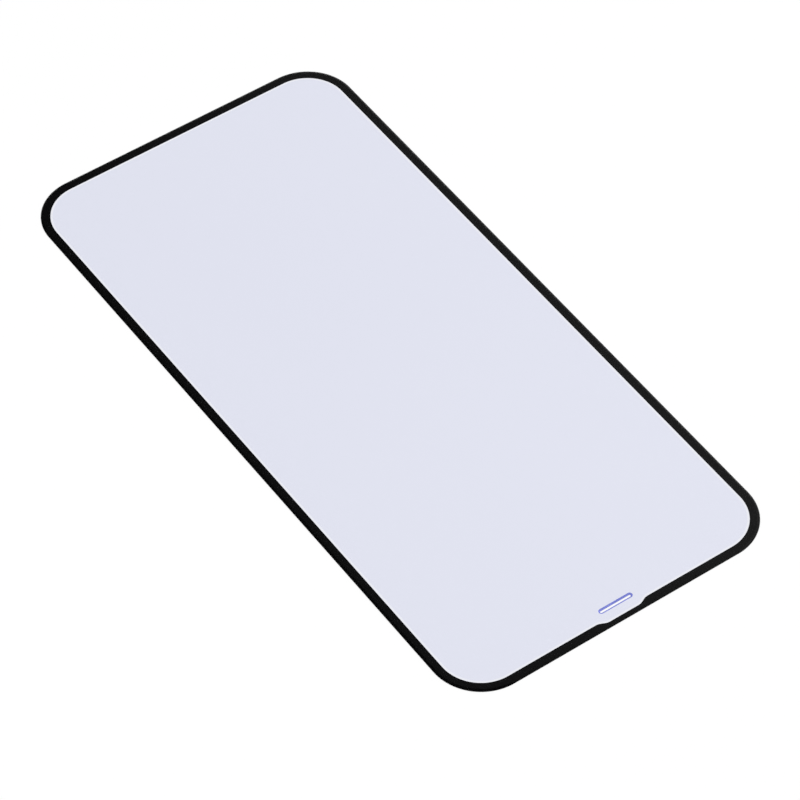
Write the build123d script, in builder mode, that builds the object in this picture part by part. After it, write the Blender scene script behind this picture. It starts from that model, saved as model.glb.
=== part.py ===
from build123d import *
import math
import os

# Screen protector for a phone: a glass sheet with a black border printed on its back.
# The origin is the centre of the back, the face that lies on the phone's screen.
# X runs across the sheet, Y along it away from the earpiece slot, Z out through the glass.

# Glass sheet, with the clear film on its back
sheet_width = 69.0
sheet_length = 144.6
sheet_thickness = 0.26
corner_radius = 10.0

# Rounded rim of the outer face: an arc that leaves the face level and drops to the edge
rim_arc_width = 0.5
rim_arc_drop = 0.15

# Earpiece slot, measured across its bevelled mouth in the outer face
slot_length = 7.3
slot_width = 1.1
slot_edge_distance = 3.65
slot_bevel_width = 0.34
slot_bevel_depth = 0.2

# Black border, and the stretch beside the slot where it narrows
border_width = 1.85
border_width_at_slot = 1.1
border_thickness = 0.02
narrow_length = 7.2
narrow_slope = 25.0
narrow_blend_radius = 2.3

# How far a cutter stands clear of the glass that it cuts
cutter_clearance = 0.5

# Places that follow from the sizes above
half_length = sheet_length / 2
slot_y = slot_edge_distance - half_length
window_end_y = border_width - half_length
narrow_depth = border_width - border_width_at_slot
narrow_mouth = narrow_length + 2 * narrow_depth / math.tan(math.radians(narrow_slope))

os.makedirs("parts", exist_ok=True)

# Clear window inside the border. Beside the slot a shallow tray takes it further out, and
# the tray's four corners are blended so that the border narrows in one flowing line.
with BuildSketch() as window:
    RectangleRounded(
        sheet_width - 2 * border_width,
        sheet_length - 2 * border_width,
        corner_radius - border_width,
    )
    with Locations((0, window_end_y)):
        Trapezoid(narrow_mouth, narrow_depth, narrow_slope, rotation=180, align=(Align.CENTER, Align.MIN))
    tray_corners = window.vertices().sort_by_distance((0, window_end_y))[:4]
    fillet(tray_corners, radius=narrow_blend_radius)

# The border's print: everything between the sheet's edge and the window
with BuildSketch() as border_print:
    RectangleRounded(sheet_width, sheet_length, corner_radius)
    add(window.sketch, mode=Mode.SUBTRACT)

# Glass sheet with its rounded rim and bevelled slot. On its back the clear film inside the
# border comes level with the ink, so the ink lies in a step of its own thickness.
with BuildPart() as glass_panel:
    with BuildSketch():
        RectangleRounded(sheet_width, sheet_length, corner_radius)
    extrude(amount=sheet_thickness)

    rim = glass_panel.faces().sort_by(Axis.Z)[-1].outer_wire()
    along_rim = rim % 0
    across_rim = Plane(origin=rim @ 0, x_dir=along_rim.cross(Vector(0, 0, 1)), z_dir=-along_rim)
    with BuildSketch(across_rim):
        with BuildLine():
            TangentArc((-rim_arc_width, 0), (0, -rim_arc_drop), tangent=(1, 0))
            Polyline(
                (0, -rim_arc_drop),
                (cutter_clearance, -rim_arc_drop),
                (cutter_clearance, cutter_clearance),
                (-rim_arc_width, cutter_clearance),
                (-rim_arc_width, 0),
            )
        make_face()
    sweep(path=rim, mode=Mode.SUBTRACT)

    with BuildSketch():
        with Locations((0, slot_y)):
            SlotOverall(slot_length - 2 * slot_bevel_width, slot_width - 2 * slot_bevel_width)
    extrude(amount=sheet_thickness, mode=Mode.SUBTRACT)
    outer_face = glass_panel.faces().sort_by(Axis.Z)[-1]
    slot_mouth = outer_face.inner_wires()[0].edges()
    chamfer(slot_mouth, length=slot_bevel_width, length2=slot_bevel_depth, reference=outer_face)

    extrude(border_print.sketch, amount=border_thickness, mode=Mode.SUBTRACT)

# Black ink on the back of the glass, level with the film inside it
with BuildPart() as printed_border:
    extrude(border_print.sketch, amount=border_thickness)

glass_panel.part.label = "glass_panel"
printed_border.part.label = "printed_border"

export_step(glass_panel.part, "parts/glass_panel.step")
export_step(printed_border.part, "parts/printed_border.step")
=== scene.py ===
import math

import bpy
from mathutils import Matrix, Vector


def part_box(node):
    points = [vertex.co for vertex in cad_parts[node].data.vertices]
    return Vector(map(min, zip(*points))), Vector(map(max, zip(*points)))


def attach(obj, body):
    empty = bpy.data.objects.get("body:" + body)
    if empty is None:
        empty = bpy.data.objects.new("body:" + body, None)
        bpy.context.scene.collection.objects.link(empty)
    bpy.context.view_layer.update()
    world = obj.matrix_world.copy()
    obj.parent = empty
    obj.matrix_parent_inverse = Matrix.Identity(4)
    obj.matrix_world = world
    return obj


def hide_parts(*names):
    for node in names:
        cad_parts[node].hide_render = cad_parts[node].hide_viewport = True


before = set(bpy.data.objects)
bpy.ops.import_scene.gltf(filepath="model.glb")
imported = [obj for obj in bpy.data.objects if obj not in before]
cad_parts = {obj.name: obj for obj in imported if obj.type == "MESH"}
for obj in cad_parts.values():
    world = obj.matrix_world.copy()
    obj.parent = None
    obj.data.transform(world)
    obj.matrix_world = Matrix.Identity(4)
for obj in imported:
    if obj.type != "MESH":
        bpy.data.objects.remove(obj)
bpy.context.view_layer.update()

scene = bpy.context.scene
scene.view_settings.view_transform = "Standard"


# Glass sheet
# One sheet of toughened glass with a clear film on its back. It is cut to its outline, the
# outer rim is ground to a low arc and polished, and the earpiece slot is milled through it
# with a bevel left fine-ground. The film stops a hair short of the printed border, and the
# glass over that bare hairline is tinted near white: a painted highlight along the border.

sheet_low, sheet_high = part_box("glass_panel")
ink_low, ink_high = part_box("printed_border")

glass_sizes = {
    "Width": sheet_high.x - sheet_low.x,
    "Length": sheet_high.y - sheet_low.y,
    "Thickness": sheet_high.z - sheet_low.z,
    "Corner Radius": 0.010,
    "Rim Width": 0.0005,
    "Rim Drop": 0.00015,
    "Slot Length": 0.0073,
    "Slot Width": 0.0011,
    "Slot From Edge": 0.00365,
    "Bevel Width": 0.00034,
    "Bevel Depth": 0.0002,
    "Ink Depth": ink_high.z - ink_low.z,
    "Film Edge": 0.0004,
}

# The clear window inside the border, with the shallow tray beside the slot
window_sizes = {
    "Border": 0.00185,
    "Border At Slot": 0.0011,
    "Tray Length": 0.0072,
    "Tray Slope": math.radians(25.0),
    "Tray Blend": 0.0023,
}

# How many steps each round stretch is divided into
CORNER_STEPS = 40
BLEND_STEPS = 14
SLOT_STEPS = 64
RIM_STEPS = 12

# Points within the gap are welded, faces as level as this are shaded flat, and edges that
# turn by more than the crease stay sharp
WELD_GAP = 1e-6
LEVEL_NORMAL = 0.9999
CREASE_ANGLE = math.radians(20.0)


class Wire:
    """A socket of a node tree. Arithmetic on wires adds Math nodes to the same tree."""

    def __init__(self, tree, socket):
        self.tree = tree
        self.socket = socket

    @classmethod
    def node(cls, tree, kind, settings, sockets, output=0):
        """Any other node: its settings are set first, then its sockets' values or links."""
        made = tree.nodes.new(kind)
        for name, value in settings.items():
            if name == "index_switch_items":
                # An index switch starts with too few items, and gets the ones it lacks
                while len(made.index_switch_items) < value:
                    made.index_switch_items.new()
            else:
                setattr(made, name, value)
        for key, value in sockets.items():
            for one in value if isinstance(value, list) else [value]:
                if isinstance(one, cls):
                    tree.links.new(one.socket, made.inputs[key])
                else:
                    made.inputs[key].default_value = one
        return cls(tree, made.outputs[output]) if made.outputs else None

    def out(self, name):
        """Another output of the node that this wire comes from."""
        return Wire(self.tree, self.socket.node.outputs[name])

    def maths(self, operation, other=0.0, other_first=False):
        """One Math node on this wire and another wire or number."""
        first, second = (other, self) if other_first else (self, other)
        settings = {"operation": operation}
        return Wire.node(self.tree, "ShaderNodeMath", settings, {0: first, 1: second})

    def __add__(self, other):
        return self.maths("ADD", other)

    def __radd__(self, other):
        return self.maths("ADD", other, other_first=True)

    def __sub__(self, other):
        return self.maths("SUBTRACT", other)

    def __rsub__(self, other):
        return self.maths("SUBTRACT", other, other_first=True)

    def __mul__(self, other):
        return self.maths("MULTIPLY", other)

    def __rmul__(self, other):
        return self.maths("MULTIPLY", other, other_first=True)

    def __truediv__(self, other):
        return self.maths("DIVIDE", other)

    def __rtruediv__(self, other):
        return self.maths("DIVIDE", other, other_first=True)

    def __neg__(self):
        return self.maths("MULTIPLY", -1.0)

    def __gt__(self, other):
        return self.maths("GREATER_THAN", other)

    def __lt__(self, other):
        return self.maths("LESS_THAN", other)

    def __abs__(self):
        return self.maths("ABSOLUTE")


def size_tree(name, sizes, materials):
    """A Geometry Nodes tree with one named input for each size and each material."""
    tree = bpy.data.node_groups.new(name, "GeometryNodeTree")
    tree.interface.new_socket("Geometry", in_out="OUTPUT", socket_type="NodeSocketGeometry")
    for label in sizes:
        tree.interface.new_socket(label, in_out="INPUT", socket_type="NodeSocketFloat")
    for label in materials:
        tree.interface.new_socket(label, in_out="INPUT", socket_type="NodeSocketMaterial")
    entry = Wire.node(tree, "NodeGroupInput", {}, {})
    return tree, {label: entry.out(label) for label in [*sizes, *materials]}


def point(tree, x=0.0, y=0.0, z=0.0):
    return Wire.node(tree, "ShaderNodeCombineXYZ", {}, {"X": x, "Y": y, "Z": z})


def joined(tree, *parts):
    return Wire.node(tree, "GeometryNodeJoinGeometry", {}, {"Geometry": list(parts)})


def moved(tree, geometry, place):
    return Wire.node(
        tree, "GeometryNodeTransform", {}, {"Geometry": geometry, "Translation": place}
    )


def line(tree, start, end):
    return Wire.node(tree, "GeometryNodeCurvePrimitiveLine", {}, {"Start": start, "End": end})


def filled(tree, curves):
    return Wire.node(tree, "GeometryNodeFillCurve", {"mode": "TRIANGLES"}, {"Curve": curves})


def turned_over(tree, mesh):
    return Wire.node(tree, "GeometryNodeFlipFaces", {}, {"Mesh": mesh})


def swept(tree, path, section):
    """A section carried round an outline. In the section x runs outwards and y down."""
    return Wire.node(
        tree, "GeometryNodeCurveToMesh", {}, {"Curve": path, "Profile Curve": section}
    )


def welded(tree, mesh):
    return Wire.node(
        tree, "GeometryNodeMergeByDistance", {}, {"Geometry": mesh, "Distance": WELD_GAP}
    )


def sheet_outline(tree, size):
    """The sheet's outline seen from above: a rectangle with four round corners."""
    corners = Wire.node(
        tree,
        "GeometryNodeCurvePrimitiveQuadrilateral",
        {"mode": "RECTANGLE"},
        {"Width": size["Width"], "Height": size["Length"]},
    )
    return Wire.node(
        tree,
        "GeometryNodeFilletCurve",
        {"mode": "POLY"},
        {"Curve": corners, "Count": CORNER_STEPS, "Radius": size["Corner Radius"]},
    )


def window_outline(tree, size):
    """The window's outline: eight corners, each rounded by a radius of its own."""
    side = size["Width"] / 2 - size["Border"]
    end = size["Length"] / 2 - size["Border"]
    depth = size["Border"] - size["Border At Slot"]
    floor_half = size["Tray Length"] / 2
    mouth_half = floor_half + depth / size["Tray Slope"].maths("TANGENT")
    corner = size["Corner Radius"] - size["Border"]
    blend = size["Tray Blend"]
    corners = [
        (side, end, corner, CORNER_STEPS),
        (-side, end, corner, CORNER_STEPS),
        (-side, -end, corner, CORNER_STEPS),
        (-mouth_half, -end, blend, BLEND_STEPS),
        (-floor_half, -(end + depth), blend, BLEND_STEPS),
        (floor_half, -(end + depth), blend, BLEND_STEPS),
        (mouth_half, -end, blend, BLEND_STEPS),
        (side, -end, corner, CORNER_STEPS),
    ]
    index = Wire.node(tree, "GeometryNodeInputIndex", {}, {})

    def by_corner(data_type, values):
        settings = {"data_type": data_type, "index_switch_items": len(corners)}
        sockets = {"Index": index}
        for number, value in enumerate(values):
            sockets[str(number)] = value
        return Wire.node(tree, "GeometryNodeIndexSwitch", settings, sockets)

    loop = Wire.node(
        tree, "GeometryNodeCurvePrimitiveCircle", {}, {"Resolution": len(corners)}
    )
    places = by_corner("VECTOR", [point(tree, x, y) for x, y, radius, steps in corners])
    loop = Wire.node(
        tree, "GeometryNodeSetPosition", {}, {"Geometry": loop, "Position": places}
    )
    return Wire.node(
        tree,
        "GeometryNodeFilletCurve",
        {"mode": "POLY"},
        {
            "Curve": loop,
            "Count": by_corner("INT", [steps for x, y, radius, steps in corners]),
            "Radius": by_corner("FLOAT", [radius for x, y, radius, steps in corners]),
        },
    )


def slot_outline(tree, length, width, place_y):
    """A straight slot with round ends: a circle whose two halves are drawn apart."""
    circle = Wire.node(
        tree,
        "GeometryNodeCurvePrimitiveCircle",
        {},
        {"Resolution": SLOT_STEPS, "Radius": width / 2},
    )
    position = Wire.node(tree, "GeometryNodeInputPosition", {}, {})
    across = Wire.node(tree, "ShaderNodeSeparateXYZ", {}, {"Vector": position}, "X")
    apart = across.maths("SIGN") * ((length - width) / 2)
    return Wire.node(
        tree,
        "GeometryNodeSetPosition",
        {},
        {"Geometry": circle, "Offset": point(tree, apart, place_y)},
    )


def rim_section(tree, size):
    """From the level outer face down the polished arc, then straight to the ink."""
    width = size["Rim Width"]
    drop = size["Rim Drop"]
    top = size["Thickness"]
    radius = (width * width + drop * drop) / (2 * drop)
    arc = Wire.node(
        tree,
        "GeometryNodeCurveArc",
        {"mode": "RADIUS"},
        {
            "Resolution": RIM_STEPS,
            "Radius": radius,
            "Start Angle": -math.pi / 2,
            "Sweep Angle": 2 * drop.maths("ARCTAN2", width),
        },
    )
    arc = moved(tree, arc, point(tree, -width, radius - top))
    edge = line(tree, point(tree, 0.0, drop - top), point(tree, 0.0, -size["Ink Depth"]))
    return joined(tree, arc, edge)


def slot_section(tree, size):
    """Up the slot's wall from the back, then out along the bevel to the outer face."""
    foot = point(tree)
    shoulder = point(tree, 0.0, size["Bevel Depth"] - size["Thickness"])
    mouth = point(tree, size["Bevel Width"], -size["Thickness"])
    return joined(tree, line(tree, foot, shoulder), line(tree, shoulder, mouth))


def film_section(tree, size):
    """From the ink's upper edge across the bare hairline down to the film."""
    return line(tree, point(tree, 0.0, -size["Ink Depth"]), point(tree, -size["Film Edge"]))


def stored(tree, geometry, name, value, data_type, domain):
    return Wire.node(
        tree,
        "GeometryNodeStoreNamedAttribute",
        {"data_type": data_type, "domain": domain},
        {"Geometry": geometry, "Name": name, "Value": value},
    )


def marked(tree, mesh, name):
    """Marks a strip's faces for a finish of their own."""
    return stored(tree, mesh, name, True, "BOOLEAN", "FACE")


def measured(tree, curve, name):
    """Keeps each point's distance along its curve, for a pattern that follows the shape."""
    distance = Wire.node(tree, "GeometryNodeSplineParameter", {}, {}, "Length")
    return stored(tree, curve, name, distance, "FLOAT", "POINT")


def lid(tree, strips, level):
    """Fills the open loops that lie at one height with a flat face."""
    faces_at_edge = Wire.node(tree, "GeometryNodeInputMeshEdgeNeighbors", {}, {})
    position = Wire.node(tree, "GeometryNodeInputPosition", {}, {})
    height = Wire.node(tree, "ShaderNodeSeparateXYZ", {}, {"Vector": position}, "Z")
    open_edges = (faces_at_edge < 2) * (abs(height - level) < WELD_GAP)
    loops = Wire.node(
        tree, "GeometryNodeMeshToCurve", {}, {"Mesh": strips, "Selection": open_edges}
    )
    return moved(tree, filled(tree, loops), point(tree, 0.0, 0.0, level))


def shaded(tree, mesh):
    """Smooth along the arcs, with level faces left flat and every real edge kept crisp."""
    normal = Wire.node(tree, "GeometryNodeInputNormal", {}, {})
    upright = Wire.node(tree, "ShaderNodeSeparateXYZ", {}, {"Vector": normal}, "Z")
    mesh = Wire.node(
        tree,
        "GeometryNodeSetShadeSmooth",
        {"domain": "FACE"},
        {"Geometry": mesh, "Shade Smooth": abs(upright) < LEVEL_NORMAL},
    )
    angle = Wire.node(tree, "GeometryNodeInputMeshEdgeAngle", {}, {}, "Unsigned Angle")
    return Wire.node(
        tree,
        "GeometryNodeSetShadeSmooth",
        {"domain": "EDGE"},
        {"Geometry": mesh, "Selection": angle > CREASE_ANGLE, "Shade Smooth": False},
    )


def finished(tree, mesh, finishes):
    """Ends a tree: instances made real, then each finish on the faces marked for it."""
    mesh = Wire.node(tree, "GeometryNodeRealizeInstances", {}, {"Geometry": mesh})
    for material, mark in finishes:
        sockets = {"Geometry": mesh, "Material": material}
        if mark:
            sockets["Selection"] = Wire.node(
                tree, "GeometryNodeInputNamedAttribute", {"data_type": "BOOLEAN"}, {"Name": mark}
            )
        mesh = Wire.node(tree, "GeometryNodeSetMaterial", {}, sockets)
    Wire.node(tree, "NodeGroupOutput", {}, {"Geometry": mesh})


def built_piece(name, tree, values):
    """Runs a tree once and keeps its result as a plain mesh."""
    piece = bpy.data.objects.new(name, bpy.data.meshes.new(name + "_start"))
    scene.collection.objects.link(piece)
    modifier = piece.modifiers.new("build", "NODES")
    modifier.node_group = tree
    for socket in tree.interface.items_tree:
        if socket.in_out == "INPUT":
            modifier[socket.identifier] = values[socket.name]
    depsgraph = bpy.context.evaluated_depsgraph_get()
    mesh = bpy.data.meshes.new_from_object(piece.evaluated_get(depsgraph))
    mesh.name = name
    # A mesh made by nodes can start with an empty material slot, which no face uses
    if mesh.materials[0] is None:
        mesh.materials.pop(index=0)
    piece.modifiers.remove(modifier)
    piece.data = mesh
    return piece


def bare_finish(name):
    """A new material with an empty node tree."""
    material = bpy.data.materials.new(name)
    material.use_nodes = True
    material.node_tree.nodes.clear()
    return material, material.node_tree


def surface(tree, shader):
    Wire.node(tree, "ShaderNodeOutputMaterial", {}, {"Surface": shader})


def principled(tree, sockets):
    surface(tree, Wire.node(tree, "ShaderNodeBsdfPrincipled", {}, sockets))


def on_piece(tree):
    return Wire.node(tree, "ShaderNodeTexCoord", {}, {}, "Object")


def on_strip(tree, name):
    """A distance that was measured along a strip, from the attribute that keeps it."""
    return Wire.node(tree, "ShaderNodeAttribute", {"attribute_name": name}, {}, "Fac")


def noise(tree, coordinates, scale, detail):
    return Wire.node(
        tree,
        "ShaderNodeTexNoise",
        {},
        {"Vector": coordinates, "Scale": scale, "Detail": detail},
        "Fac",
    )


def mixed_colour(tree, amount, tints):
    """A colour between two tints, by a Mix node's colour sockets: 6 and 7 in, and 2 out."""
    first, second = tints
    colours = {"Factor": amount, 6: (*first, 1.0), 7: (*second, 1.0)}
    return Wire.node(tree, "ShaderNodeMix", {"data_type": "RGBA"}, colours, 2)


GLASS_IOR = 1.5
GLASS_TINTS = (0.805, 0.822, 0.938), (0.822, 0.838, 0.948)
TINT_DRIFTS_PER_METRE = 14.0
TINT_DRIFT_DETAIL = 2.0
WIPES_PER_METRE = 160.0
WIPES_DETAIL = 4.0
POLISHED_ROUGHNESS = 0.004
WIPES_ROUGHNESS = 0.02


def polished_glass():
    """Clear glass with a cool cast that drifts a little, and faint traces of wiping."""
    material, tree = bare_finish("polished_glass")
    drift = noise(tree, on_piece(tree), TINT_DRIFTS_PER_METRE, TINT_DRIFT_DETAIL)
    wipes = noise(tree, on_piece(tree), WIPES_PER_METRE, WIPES_DETAIL)
    principled(
        tree,
        {
            "Base Color": mixed_colour(tree, drift, GLASS_TINTS),
            "Roughness": POLISHED_ROUGHNESS + WIPES_ROUGHNESS * wipes,
            "Transmission Weight": 1.0,
            "IOR": GLASS_IOR,
        },
    )
    return material


BEVEL_TINTS = (0.157, 0.183, 0.59), (0.277, 0.308, 0.78)
SCORES_PER_METRE_ALONG = 700.0
SCORES_PER_METRE_ACROSS = 14000.0
SCORES_DETAIL = 3.0
SCORES_FAINTEST = 0.3
SCORES_STRONGEST = 0.7
SCORES_STRENGTH = 0.4
SCORES_DEPTH = 0.00001
GROUND_ROUGHNESS = 0.35
SCORES_ROUGHNESS = 0.2


def ground_glass():
    """The slot's fine-ground bevel, scored by the grinding all the way round the slot."""
    material, tree = bare_finish("ground_glass")
    along = on_strip(tree, "along_slot") * SCORES_PER_METRE_ALONG
    across = on_strip(tree, "across_slot") * SCORES_PER_METRE_ACROSS
    scores = Wire.node(
        tree,
        "ShaderNodeMapRange",
        {},
        {
            "Value": noise(tree, point(tree, along, across), 1.0, SCORES_DETAIL),
            "From Min": SCORES_FAINTEST,
            "From Max": SCORES_STRONGEST,
        },
    )
    scored = Wire.node(
        tree,
        "ShaderNodeBump",
        {},
        {"Strength": SCORES_STRENGTH, "Distance": SCORES_DEPTH, "Height": scores},
    )
    principled(
        tree,
        {
            "Base Color": mixed_colour(tree, scores, BEVEL_TINTS),
            "Roughness": GROUND_ROUGHNESS + SCORES_ROUGHNESS * scores,
            "IOR": GLASS_IOR,
            "Normal": scored,
        },
    )
    return material


# Near-white tints of the bare hairline: a painted highlight along the inner edge of the border,
# varied by glue smears
PAINTED_HIGHLIGHT_TINTS = (0.97, 0.975, 0.99), (1.0, 1.0, 1.0)
SMEARS_PER_METRE = 900.0
SMEARS_DETAIL = 2.0
HAIRLINE_ROUGHNESS = 0.01
SMEARS_ROUGHNESS = 0.02


def painted_highlight_glass():
    """Glass over the hairline that the film leaves bare, with faint smears of its glue. Its
    near-white tint is a painted highlight along the inner edge of the black border.
    """
    material, tree = bare_finish("painted_highlight_glass")
    smears = noise(tree, on_piece(tree), SMEARS_PER_METRE, SMEARS_DETAIL)
    principled(
        tree,
        {
            "Base Color": mixed_colour(tree, smears, PAINTED_HIGHLIGHT_TINTS),
            "Roughness": HAIRLINE_ROUGHNESS + SMEARS_ROUGHNESS * smears,
            "Transmission Weight": 1.0,
            "IOR": GLASS_IOR,
        },
    )
    return material


glass_finishes = {
    "Polished": polished_glass(),
    "Ground": ground_glass(),
    "Film Hairline": painted_highlight_glass(),
}

glass_tree, glass = size_tree("glass_sheet", {**glass_sizes, **window_sizes}, glass_finishes)
slot_through = slot_outline(
    glass_tree,
    glass["Slot Length"] - 2 * glass["Bevel Width"],
    glass["Slot Width"] - 2 * glass["Bevel Width"],
    glass["Slot From Edge"] - glass["Length"] / 2,
)
rim_strip = swept(glass_tree, sheet_outline(glass_tree, glass), rim_section(glass_tree, glass))
slot_strip = swept(
    glass_tree,
    measured(glass_tree, slot_through, "along_slot"),
    measured(glass_tree, slot_section(glass_tree, glass), "across_slot"),
)
film_strip = swept(glass_tree, window_outline(glass_tree, glass), film_section(glass_tree, glass))
# The hairline strip is marked for the glass finish that carries the painted highlight
strips = welded(
    glass_tree,
    joined(
        glass_tree,
        rim_strip,
        marked(glass_tree, slot_strip, "ground"),
        marked(glass_tree, film_strip, "film_hairline"),
    ),
)
outer_face = lid(glass_tree, strips, glass["Thickness"])
ink_bed = turned_over(glass_tree, lid(glass_tree, strips, glass["Ink Depth"]))
film_face = turned_over(glass_tree, lid(glass_tree, strips, 0.0))
closed_sheet = welded(glass_tree, joined(glass_tree, strips, outer_face, ink_bed, film_face))
finished(
    glass_tree,
    shaded(glass_tree, closed_sheet),
    [
        (glass["Polished"], None),
        (glass["Ground"], "ground"),
        (glass["Film Hairline"], "film_hairline"),
    ],
)

glass_sheet = built_piece(
    "glass_sheet", glass_tree, {**glass_sizes, **window_sizes, **glass_finishes}
)
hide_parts("glass_panel")
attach(glass_sheet, "root")


# Printed border
# A band of black ink, screen printed on the back of the glass all round its edge before the
# film goes on. Beside the slot it narrows in two flowing bends. It wets the glass, so its
# upper face is set a hair into the sheet and no air shows between them.

ink_sizes = {
    "Width": ink_high.x - ink_low.x,
    "Length": ink_high.y - ink_low.y,
    "Corner Radius": glass_sizes["Corner Radius"],
    "Ink Depth": ink_high.z - ink_low.z,
    "Wetting": 2e-6,
}

INK_TINTS = (0.0035, 0.0035, 0.0038), (0.006, 0.006, 0.0066)
MOTTLES_PER_METRE = 2600.0
MOTTLES_DETAIL = 3.0
INK_ROUGHNESS = 0.42
MOTTLES_ROUGHNESS = 0.18
INK_SHINE = 0.1


def black_ink():
    """Dense black ink with the fine mottle of the printing screen."""
    material, tree = bare_finish("black_ink")
    mottles = noise(tree, on_piece(tree), MOTTLES_PER_METRE, MOTTLES_DETAIL)
    principled(
        tree,
        {
            "Base Color": mixed_colour(tree, mottles, INK_TINTS),
            "Roughness": INK_ROUGHNESS + MOTTLES_ROUGHNESS * mottles,
            "Specular IOR Level": INK_SHINE,
        },
    )
    return material


ink_finishes = {"Ink": black_ink()}

ink_tree, ink = size_tree("printed_ink", {**ink_sizes, **window_sizes}, ink_finishes)
ink_back = filled(
    ink_tree, joined(ink_tree, sheet_outline(ink_tree, ink), window_outline(ink_tree, ink))
)
ink_rise = Wire.node(
    ink_tree,
    "GeometryNodeExtrudeMesh",
    {"mode": "FACES"},
    {
        "Mesh": ink_back,
        "Offset": point(ink_tree, 0.0, 0.0, ink["Ink Depth"] + ink["Wetting"]),
        "Individual": False,
    },
)
ink_band = welded(ink_tree, joined(ink_tree, ink_rise, turned_over(ink_tree, ink_back)))
finished(ink_tree, shaded(ink_tree, ink_band), [(ink["Ink"], None)])

ink_border = built_piece("ink_border", ink_tree, {**ink_sizes, **window_sizes, **ink_finishes})
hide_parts("printed_border")
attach(ink_border, "root")


# Studio floor
# A plain white table under the sheet. Seen directly, in a reflection or through the glass it
# is even white, and part of it is still lit, so that the sheet's own shadow stays on it.

FLOOR_HALF = 3.0
FLOOR_DROP = 0.00005
FLOOR_COLOUR = (1.0, 1.0, 1.0, 1.0)
WHITE_GLOW = 1.0
GLOW_SEEN_DIRECTLY = 0.88

floor_mesh = bpy.data.meshes.new("floor")
floor_mesh.from_pydata(
    [
        (-FLOOR_HALF, -FLOOR_HALF, -FLOOR_DROP),
        (FLOOR_HALF, -FLOOR_HALF, -FLOOR_DROP),
        (FLOOR_HALF, FLOOR_HALF, -FLOOR_DROP),
        (-FLOOR_HALF, FLOOR_HALF, -FLOOR_DROP),
    ],
    [],
    [(0, 1, 2, 3)],
)
floor = bpy.data.objects.new("floor", floor_mesh)
scene.collection.objects.link(floor)

floor_white, floor_tree = bare_finish("floor_white")
seen_directly = Wire.node(floor_tree, "ShaderNodeLightPath", {}, {}, "Is Camera Ray")
mirrored = seen_directly.out("Is Glossy Ray")
seen_by_glass = seen_directly.out("Is Transmission Ray").maths("MAXIMUM", mirrored)
glow_share = (seen_directly * GLOW_SEEN_DIRECTLY).maths("MAXIMUM", seen_by_glass)
lit = Wire.node(floor_tree, "ShaderNodeBsdfDiffuse", {}, {"Color": FLOOR_COLOUR})
glow = Wire.node(floor_tree, "ShaderNodeEmission", {}, {"Strength": WHITE_GLOW})
surface(
    floor_tree,
    Wire.node(floor_tree, "ShaderNodeMixShader", {}, {0: glow_share, 1: lit, 2: glow}),
)
floor_mesh.materials.append(floor_white)


# Studio light
# A white backdrop all round, low down, under a dim ceiling that brightens towards one side,
# and two large soft lamps that the glass doesn't mirror, as behind a polarising filter.

CEILING_DIM = 0.04
CEILING_BRIGHT = 0.46
CEILING_BRIGHTENS_FROM = 0.28
CEILING_BRIGHT_FROM = 0.52
BACKDROP_WHITE_TO = 0.15
BACKDROP_ENDS = 0.6
LAMP_DISTANCE = 0.9
LAMP_SIZE = 0.8
LAMPS = [
    ("left_softbox", Vector((-0.5, 0.0, 0.87)), 6.1),
    ("right_softbox", Vector((0.85, -0.1, 0.5)), 5.9),
]

world = bpy.data.worlds.new("studio")
scene.world = world
world.use_nodes = True
world_tree = world.node_tree
world_tree.nodes.clear()
direction = Wire.node(world_tree, "ShaderNodeTexCoord", {}, {}, "Generated")
sideways = Wire.node(world_tree, "ShaderNodeSeparateXYZ", {}, {"Vector": direction}, "X")
upwards = sideways.out("Z")
ceiling = Wire.node(
    world_tree,
    "ShaderNodeMapRange",
    {"interpolation_type": "SMOOTHSTEP"},
    {
        "Value": sideways,
        "From Min": CEILING_BRIGHTENS_FROM,
        "From Max": CEILING_BRIGHT_FROM,
        "To Min": CEILING_DIM,
        "To Max": CEILING_BRIGHT,
    },
)
backdrop = Wire.node(
    world_tree,
    "ShaderNodeMapRange",
    {"interpolation_type": "SMOOTHSTEP"},
    {
        "Value": upwards,
        "From Min": BACKDROP_WHITE_TO,
        "From Max": BACKDROP_ENDS,
        "To Min": 1.0,
        "To Max": 0.0,
    },
)
studio = Wire.node(
    world_tree,
    "ShaderNodeBackground",
    {},
    {"Strength": ceiling + backdrop * (1 - ceiling)},
)
Wire.node(world_tree, "ShaderNodeOutputWorld", {}, {"Surface": studio})

for lamp_name, lamp_side, lamp_power in LAMPS:
    lamp_data = bpy.data.lights.new(lamp_name, "AREA")
    lamp_data.energy = lamp_power
    lamp_data.shape = "SQUARE"
    lamp_data.size = LAMP_SIZE
    lamp = bpy.data.objects.new(lamp_name, lamp_data)
    scene.collection.objects.link(lamp)
    lamp.visible_glossy = False
    lamp.visible_transmission = False
    lamp.location = lamp_side.normalized() * LAMP_DISTANCE
    lamp.rotation_euler = lamp_side.to_track_quat("Z", "Y").to_euler()


# Camera
# It stands off the near left corner, well above the sheet, with a long lens that leaves
# little perspective.

CAMERA_PLACE = Vector((-0.2744, -0.3917, 0.55074))
CAMERA_AIM = Vector((-0.00382, -0.009, 0.00026))
CAMERA_LENS = 178.9
CAMERA_SENSOR = 36.0
CAMERA_NEAREST = 0.01

camera_data = bpy.data.cameras.new("camera")
camera_data.sensor_width = CAMERA_SENSOR
camera_data.lens = CAMERA_LENS
camera_data.clip_start = CAMERA_NEAREST
camera = bpy.data.objects.new("camera", camera_data)
scene.collection.objects.link(camera)
camera.location = CAMERA_PLACE
camera.rotation_euler = (CAMERA_PLACE - CAMERA_AIM).to_track_quat("Z", "Y").to_euler()
scene.camera = camera
